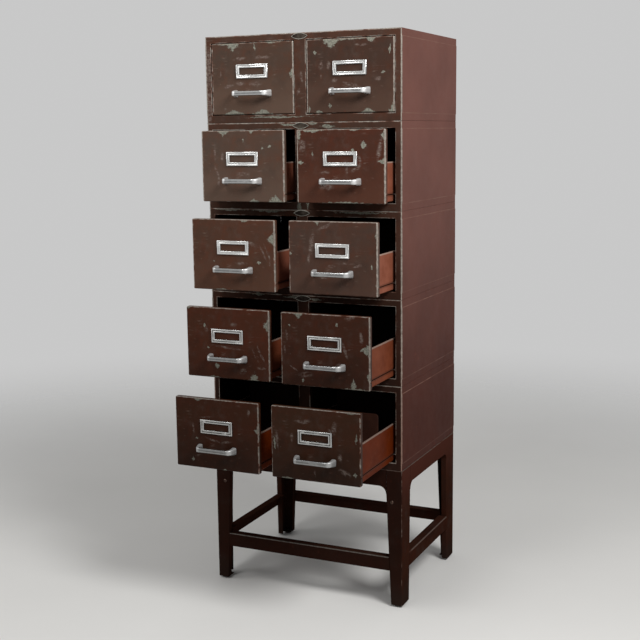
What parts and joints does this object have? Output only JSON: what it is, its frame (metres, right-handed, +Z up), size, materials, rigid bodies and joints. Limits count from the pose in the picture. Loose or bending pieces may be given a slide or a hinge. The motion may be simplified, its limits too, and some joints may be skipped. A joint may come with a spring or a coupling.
{
  "type": "card file cabinet on stand",
  "caption": "Stack of steel card-file sections in worn brown paint on an open sheet-metal stand, with sliding drawers, bright pulls and label holders.",
  "frame": {"origin": "on the floor, under the middle of the whole object's outline with its drawers standing open as stored", "axes": "+Z up, +Y towards the cabinet's back, +X to the right as seen from the front; the drawers pull out along -Y"},
  "size_m": [0.508, 0.6314, 1.3706],
  "materials": {
    "case_paint": "brown enamel, worn to bare metal along the edges",
    "front_paint": "dark brown enamel, chipped and scratched",
    "tray_paint": "red-brown enamel, orange-brown where it has rubbed",
    "inner_paint": "dark brown enamel, thin coat inside the case",
    "back_paint": "brown enamel",
    "follower_paint": "dark brown enamel",
    "stand_paint": "brown enamel, scuffed, darker towards the floor",
    "bare_steel": "bare folded steel, dulled",
    "screw_steel": "zinc-plated steel",
    "glide": "dark domed steel",
    "bright_cast": "bright plated casting with dull patches",
    "bright_plate": "bright plated pressing",
    "badge_metal": "bare oval plate, worn"
  },
  "bodies": {
    "case": {"section_1_shell": "case_paint", "section_2_shell": "case_paint", "section_3_shell": "case_paint", "section_4_shell": "case_paint", "section_5_shell": "case_paint", "drawer_partitions": "inner_paint", "back_panels": "back_paint", "drawer_runners": "bare_steel", "oval_badges": "badge_metal", "leg_front_left": "stand_paint", "leg_front_right": "stand_paint", "leg_rear_left": "stand_paint", "leg_rear_right": "stand_paint", "front_rear_aprons": "stand_paint", "side_aprons": "stand_paint", "front_rear_stretchers": "stand_paint", "side_stretchers": "stand_paint", "floor_glides": "glide", "assembly_screws": "screw_steel"},
    "drawer_1_left": {"drawer_1_left_tray": "tray_paint", "drawer_1_left_front": "front_paint", "drawer_1_left_pull": "bright_cast", "drawer_1_left_label_holder": "bright_plate"},
    "drawer_1_right": {"drawer_1_right_tray": "tray_paint", "drawer_1_right_front": "front_paint", "drawer_1_right_pull": "bright_cast", "drawer_1_right_label_holder": "bright_plate"},
    "drawer_2_left": {"drawer_2_left_tray": "tray_paint", "drawer_2_left_front": "front_paint", "drawer_2_left_pull": "bright_cast", "drawer_2_left_label_holder": "bright_plate"},
    "drawer_2_right": {"drawer_2_right_tray": "tray_paint", "drawer_2_right_front": "front_paint", "drawer_2_right_pull": "bright_cast", "drawer_2_right_label_holder": "bright_plate"},
    "drawer_3_left": {"drawer_3_left_tray": "tray_paint", "drawer_3_left_front": "front_paint", "drawer_3_left_pull": "bright_cast", "drawer_3_left_label_holder": "bright_plate"},
    "drawer_3_right": {"drawer_3_right_tray": "tray_paint", "drawer_3_right_front": "front_paint", "drawer_3_right_pull": "bright_cast", "drawer_3_right_label_holder": "bright_plate"},
    "drawer_4_left": {"drawer_4_left_tray": "tray_paint", "drawer_4_left_front": "front_paint", "drawer_4_left_pull": "bright_cast", "drawer_4_left_label_holder": "bright_plate"},
    "drawer_4_right": {"drawer_4_right_tray": "tray_paint", "drawer_4_right_front": "front_paint", "drawer_4_right_pull": "bright_cast", "drawer_4_right_label_holder": "bright_plate"},
    "drawer_5_left": {"drawer_5_left_tray": "tray_paint", "drawer_5_left_front": "front_paint", "drawer_5_left_pull": "bright_cast", "drawer_5_left_label_holder": "bright_plate"},
    "drawer_5_right": {"drawer_5_right_tray": "tray_paint", "drawer_5_right_front": "front_paint", "drawer_5_right_pull": "bright_cast", "drawer_5_right_label_holder": "bright_plate"},
    "follower_5_right": {"drawer_5_right_follower": "follower_paint"}
  },
  "joints": [
    {"name": "drawer_1_left_slide", "type": "slide", "parent": "case", "child": "drawer_1_left", "axis": [0, -1, 0], "range_m": [0, 0.33]},
    {"name": "drawer_1_right_slide", "type": "slide", "parent": "case", "child": "drawer_1_right", "axis": [0, -1, 0], "range_m": [0, 0.33]},
    {"name": "drawer_2_left_slide", "type": "slide", "parent": "case", "child": "drawer_2_left", "axis": [0, -1, 0], "range_m": [-0.058, 0.272]},
    {"name": "drawer_2_right_slide", "type": "slide", "parent": "case", "child": "drawer_2_right", "axis": [0, -1, 0], "range_m": [-0.058, 0.272]},
    {"name": "drawer_3_left_slide", "type": "slide", "parent": "case", "child": "drawer_3_left", "axis": [0, -1, 0], "range_m": [-0.113, 0.217]},
    {"name": "drawer_3_right_slide", "type": "slide", "parent": "case", "child": "drawer_3_right", "axis": [0, -1, 0], "range_m": [-0.107, 0.223]},
    {"name": "drawer_4_left_slide", "type": "slide", "parent": "case", "child": "drawer_4_left", "axis": [0, -1, 0], "range_m": [-0.15, 0.18]},
    {"name": "drawer_4_right_slide", "type": "slide", "parent": "case", "child": "drawer_4_right", "axis": [0, -1, 0], "range_m": [-0.155, 0.175]},
    {"name": "drawer_5_left_slide", "type": "slide", "parent": "case", "child": "drawer_5_left", "axis": [0, -1, 0], "range_m": [-0.212, 0.118]},
    {"name": "drawer_5_right_slide", "type": "slide", "parent": "case", "child": "drawer_5_right", "axis": [0, -1, 0], "range_m": [-0.212, 0.118]},
    {"name": "follower_5_right_slide", "type": "slide", "parent": "drawer_5_right", "child": "follower_5_right", "axis": [0, 1, 0], "range_m": [-0.119, 0.171]}
  ]
}
